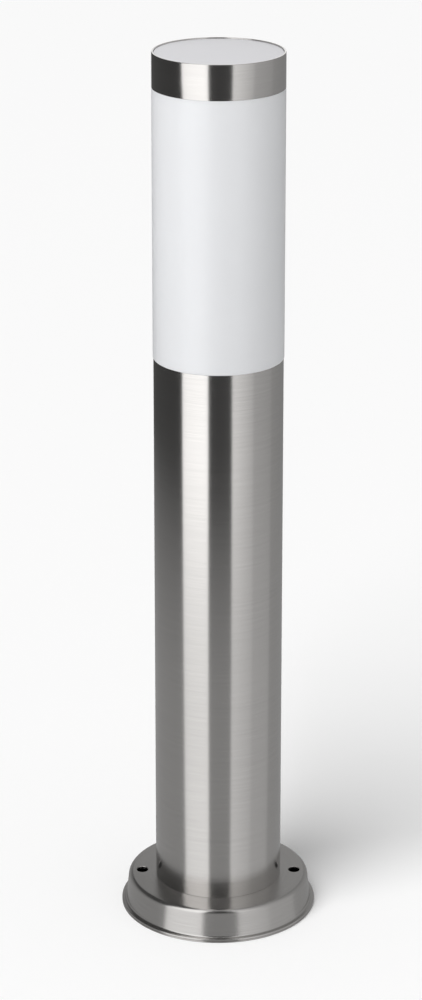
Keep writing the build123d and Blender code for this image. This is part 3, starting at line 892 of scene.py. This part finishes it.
GLOBE_R = radius_of("bulb_globe")
GLOBE_WALL = 1.2
GLOBE_CENTRE = top_of("bulb_globe") - GLOBE_R
HOUSING_FOOT, HOUSING_TOP = bottom_of("bulb_housing"), bottom_of("bulb_globe")
HOUSING_WALL = 1.6
HOUSING_FOOT_R = 14.4
WAIST = HOUSING_FOOT + 5
HOUSING_MIDDLE = HOUSING_FOOT + 17
HOUSING_MIDDLE_R = 18.6
MIDDLE_SLOPE, RIM_SLOPE = 0.40, 0.45


def globe():
    """An opal dome with its rim on the housing."""
    depth = HOUSING_TOP - GLOBE_CENTRE
    inner_r = GLOBE_R - GLOBE_WALL
    outer_foot, inner_foot = degrees(asin(depth / GLOBE_R)), degrees(asin(depth / inner_r))
    inside = arc(0, GLOBE_CENTRE, inner_r, 90, inner_foot, 28)
    outside = arc(0, GLOBE_CENTRE, GLOBE_R, outer_foot, 90, 32)
    inside[0] = (0, GLOBE_CENTRE + inner_r)
    outside[-1] = (0, GLOBE_CENTRE + GLOBE_R)
    turned("globe", inside + outside, "bulb", "bulb_opal", ["bulb_globe"], 128)


def housing_radius(height):
    """Outside radius: straight at the waist, widening to meet the globe."""
    rim_r = (GLOBE_R**2 - (GLOBE_CENTRE - HOUSING_TOP) ** 2) ** 0.5
    spans = [
        (WAIST, HOUSING_FOOT_R, 0.0),
        (HOUSING_MIDDLE, HOUSING_MIDDLE_R, MIDDLE_SLOPE),
        (HOUSING_TOP, rim_r, RIM_SLOPE),
    ]
    for (low, low_r, low_slope), (high, high_r, high_slope) in zip(spans, spans[1:]):
        if height <= high:
            t = (height - low) / (high - low)
            turn_low = low_slope * (high - low)
            turn_high = high_slope * (high - low)
            return (
                low_r * (2 * t**3 - 3 * t**2 + 1)
                + turn_low * (t**3 - 2 * t**2 + t)
                + high_r * (3 * t**2 - 2 * t**3)
                + turn_high * (t**3 - t**2)
            )
    return rim_r


def housing():
    """A hollow cone with a plate for the LED board and a shallow groove above its foot."""
    steps = 20
    heights = [WAIST + (HOUSING_TOP - WAIST) * i / steps for i in range(steps + 1)]
    outside = [(housing_radius(z), z) for z in heights]
    inside = [(r - HOUSING_WALL, z) for r, z in reversed(outside)]
    plate_top, plate_bottom = HOUSING_TOP - 3, HOUSING_TOP - 5
    above = [point for point in inside if point[1] > plate_top]
    below = [point for point in inside if point[1] < plate_bottom]
    shoulder = [(housing_radius(plate_top) - HOUSING_WALL, plate_top), (0, plate_top)]
    underneath = [(0, plate_bottom), (housing_radius(plate_bottom) - HOUSING_WALL, plate_bottom)]
    outline = underneath + below + [
        (radius_of("bulb_cap") - 1.18, HOUSING_FOOT),
        (HOUSING_FOOT_R, HOUSING_FOOT, 0.4),
        (HOUSING_FOOT_R, HOUSING_FOOT + 2.0),
        (HOUSING_FOOT_R - 0.3, HOUSING_FOOT + 2.3, 0.2),
        (HOUSING_FOOT_R - 0.3, HOUSING_FOOT + 3.0, 0.2),
        (HOUSING_FOOT_R, HOUSING_FOOT + 3.3),
    ]
    outline += outside + above + shoulder
    turned("housing", outline, "bulb", "bulb_plastic", ["bulb_housing"], 128)


globe()
housing()

INSULATOR_FOOT, INSULATOR_TOP = bottom_of("bulb_insulator"), top_of("bulb_insulator")
INSULATOR_R = radius_of("bulb_insulator")
turned(
    "insulator",
    [
        (2.5, INSULATOR_FOOT, 0.1),
        (4.8, INSULATOR_FOOT, 0.5),
        (INSULATOR_R, INSULATOR_TOP - 0.9, 0.3),
        (INSULATOR_R, INSULATOR_TOP, 0.1),
        (2.5, INSULATOR_TOP, 0.1),
    ],
    "bulb", "black_glass", ["bulb_insulator"], 96,
)
CONTACT_FOOT, CONTACT_TOP = bottom_of("bulb_contact"), top_of("bulb_contact")
CONTACT_R = radius_of("bulb_contact")
turned(
    "contact",
    [(0, CONTACT_FOOT), (1.8, CONTACT_FOOT + 0.15), (3.1, CONTACT_FOOT + 0.45)]
    + [(CONTACT_R - 0.3, CONTACT_FOOT + 0.9), (CONTACT_R, INSULATOR_FOOT), (2.4, INSULATOR_FOOT)]
    + [(2.4, CONTACT_TOP, 0.2), (0, CONTACT_TOP)],
    "bulb_carriage", "brass_parts", ["bulb_contact"], 64,
)

# ---- Parts kept from the frame ----

for part in frame["record"]["subparts"]:
    node = frame["nodes"][part["node"]]
    for material_slot in node.material_slots:
        material_slot.material = FINISHES[part["material_slot"]]

# ---- Studio ----


def stage_material(name, colour, roughness):
    finish = Finish(name)
    return finish.surface(Base_Color=colour, Roughness=roughness)


FLOOR_SIZE = 40
deselect()
bpy.ops.mesh.primitive_plane_add(size=FLOOR_SIZE, location=(0, 0, cad_box[0].z))
floor = bpy.context.object
floor.name = "floor"
floor.data.materials.append(stage_material("pale_floor", grey(0.985), 0.9))
floor.visible_glossy = False

# A near-black disc just above the floor, under the base: painted shadow, standing in for the
# shaded ground seen through the base's holes.
SHADE_R = 53.5
SHADE_TOP, SHADE_FOOT = 0.2, 0.1
outline = [(0, SHADE_TOP), (SHADE_R, SHADE_TOP), (SHADE_R, SHADE_FOOT), (0, SHADE_FOOT)]
painted_shadow_disc = drawn("shaded_ground", outline)
spin_round(painted_shadow_disc, 64)
painted_shadow_disc.data.materials.append(stage_material("shaded_ground", grey(0.01), 1.0))

CARD_DISTANCE = 0.36
CARD_FOOT = -0.5
CARD_HEIGHT = 2.0
CARD_STEP = 5
HAZE_SHARE = 0.53
HAZE_BOTTOM, HAZE_TOP = -0.048, 0.211


def reflection_card(name, start, end, start_level, end_level, haze_level, high_level):
    """A curved card round the object, seen only in reflections.

    Its angles run from the front to the right, in degrees.
    """
    deselect()
    bpy.ops.mesh.primitive_plane_add(size=MM)
    card = bpy.context.object
    card.name = name
    edit_mode()
    bpy.ops.mesh.select_mode(type="VERT")
    bpy.ops.mesh.select_all(action="SELECT")
    bpy.ops.mesh.merge(type="CENTER")
    angle = radians(start)
    foot = Vector((sin(angle) * CARD_DISTANCE, -cos(angle) * CARD_DISTANCE, CARD_FOOT))
    bpy.ops.transform.translate(value=foot)
    bpy.ops.mesh.extrude_region_move(TRANSFORM_OT_translate={"value": (0, 0, CARD_HEIGHT)})
    bpy.ops.mesh.select_all(action="SELECT")
    steps = max(2, int((end - start) / CARD_STEP))
    bpy.ops.mesh.spin(steps=steps, angle=radians(start - end), center=(0, 0, 0), axis=(0, 0, 1))
    object_mode()
    finish = Finish(name + "_glow")
    x, y, z = finish.axes()
    azimuth = x.math("ARCTAN2", y * -1) * (180 / pi)
    if end > 180:
        azimuth = azimuth + azimuth.math("LESS_THAN", 0.0) * 360
    sources = {0: azimuth, 1: start, 2: end, 3: start_level, 4: end_level}
    level = finish.add("ShaderNodeMapRange", {}, sources).out(0)
    climb = ((z - HAZE_BOTTOM) / (HAZE_TOP - HAZE_BOTTOM)).clamped()
    haze = (1.0 - climb * climb) * HAZE_SHARE
    level = level * (1.0 - haze) + haze * haze_level
    if high_level:
        above = z.ramp(0.4, 0.55)
        level = level * (1.0 - above) + above * high_level
    glow = finish.add("ShaderNodeEmission", {}, {"Strength": level}).out(0)
    finish.tree.links.new(glow.socket, finish.tree.nodes["Material Output"].inputs["Surface"])
    card.data.materials.append(finish.material)
    card.visible_camera = False
    card.visible_diffuse = False
    card.visible_shadow = False
    card.visible_transmission = False


CARDS = [
    ("white_card", -63, -17, 1.47, 1.64, 0.62, 0),
    ("front_flag", -17, 22, 0.05, 0.065, 0.56, 0),
    ("right_card", 22, 60, 1.0, 0.58, 0.58, 0),
    ("right_wing", 60, 100, 0.50, 0.40, 0.52, 0),
    ("far_right_card", 100, 160, 0.36, 0.24, 0.36, 0),
    ("back_card", 160, 200, 0.36, 0.30, 0.40, 1.1),
    ("left_flag", 200, 298, 0.08, 0.05, 0.56, 0),
]
for card in CARDS:
    reflection_card(*card)

# ---- Key light and world ----

key = bpy.data.objects.new("key", bpy.data.lights.new("key", "SUN"))
bpy.context.scene.collection.objects.link(key)
KEY_AZIMUTH, KEY_ELEVATION = radians(-38), radians(50)
KEY_STRENGTH, KEY_SPREAD = 2.35, radians(40)
key.data.energy = KEY_STRENGTH
key.data.angle = KEY_SPREAD
key.rotation_euler = (pi / 2 - KEY_ELEVATION, 0, KEY_AZIMUTH)
key.visible_glossy = False

WORLD_LIGHT, WORLD_SEEN = 0.42, 1.0
world = bpy.data.worlds.new("studio")
bpy.context.scene.world = world
world.use_nodes = True
backdrop = world.node_tree.nodes["Background"]
seen = world.node_tree.nodes.new("ShaderNodeLightPath")
level = world.node_tree.nodes.new("ShaderNodeMapRange")
level.inputs[3].default_value = WORLD_LIGHT
level.inputs[4].default_value = WORLD_SEEN
world.node_tree.links.new(seen.outputs["Is Camera Ray"], level.inputs[0])
world.node_tree.links.new(level.outputs[0], backdrop.inputs["Strength"])
backdrop.inputs["Color"].default_value = (1, 1, 1, 1)
